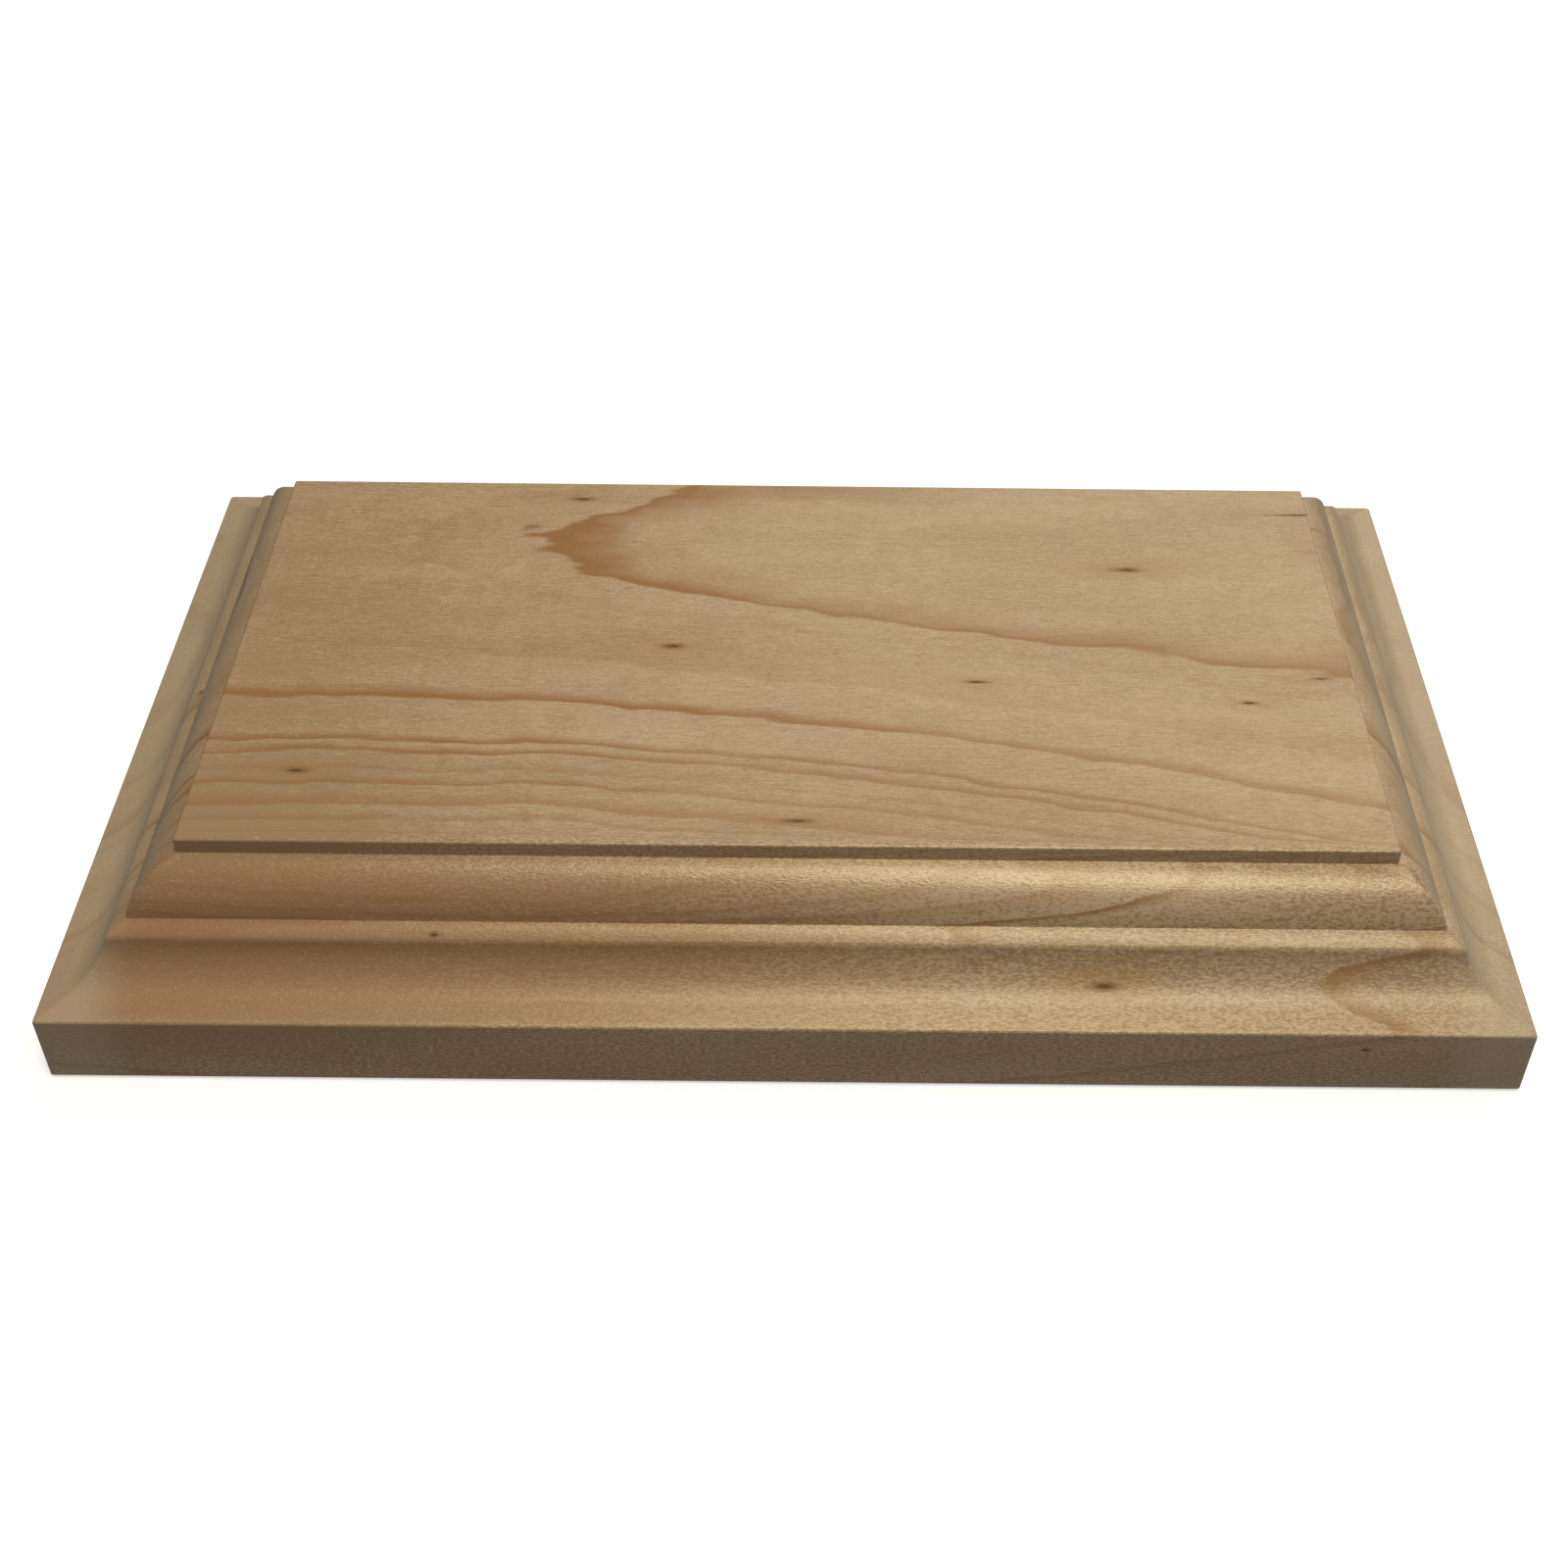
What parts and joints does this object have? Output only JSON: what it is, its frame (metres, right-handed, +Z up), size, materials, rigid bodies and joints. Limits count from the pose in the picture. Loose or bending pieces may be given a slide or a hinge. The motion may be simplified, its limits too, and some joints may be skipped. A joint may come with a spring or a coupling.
{
  "type": "moulded wooden plaque",
  "caption": "Rectangular solid-wood plaque with a stepped moulded edge and a plain raised panel for an engraved plate, hung by keyhole plates let into its back.",
  "frame": {"origin": "under the middle of the plaque, in the plane of the pads' undersides, on which it lies", "axes": "+X along the plaque's length, to the right as the panel is looked at with its top edge up; +Y to the edge that is at the top when it hangs; +Z up out of the panel, away from the wall"},
  "size_m": [0.178, 0.103, 0.0253],
  "materials": {
    "board_wood": "flat-sawn light hardwood, moulded and sanded, thin satin clear finish",
    "plate_steel": "pressed steel, bright zinc plated",
    "screw_steel": "countersunk wood screw, bright zinc plated",
    "pad_rubber": "soft matt black rubber disc"
  },
  "bodies": {
    "root": {"plaque_board": "board_wood", "keyhole_plate_left": "plate_steel", "keyhole_plate_right": "plate_steel", "plate_screw_left_lower": "screw_steel", "plate_screw_left_upper": "screw_steel", "plate_screw_right_lower": "screw_steel", "plate_screw_right_upper": "screw_steel", "rubber_pad_front_left": "pad_rubber", "rubber_pad_front_right": "pad_rubber", "rubber_pad_back_left": "pad_rubber", "rubber_pad_back_right": "pad_rubber"}
  },
  "joints": []
}
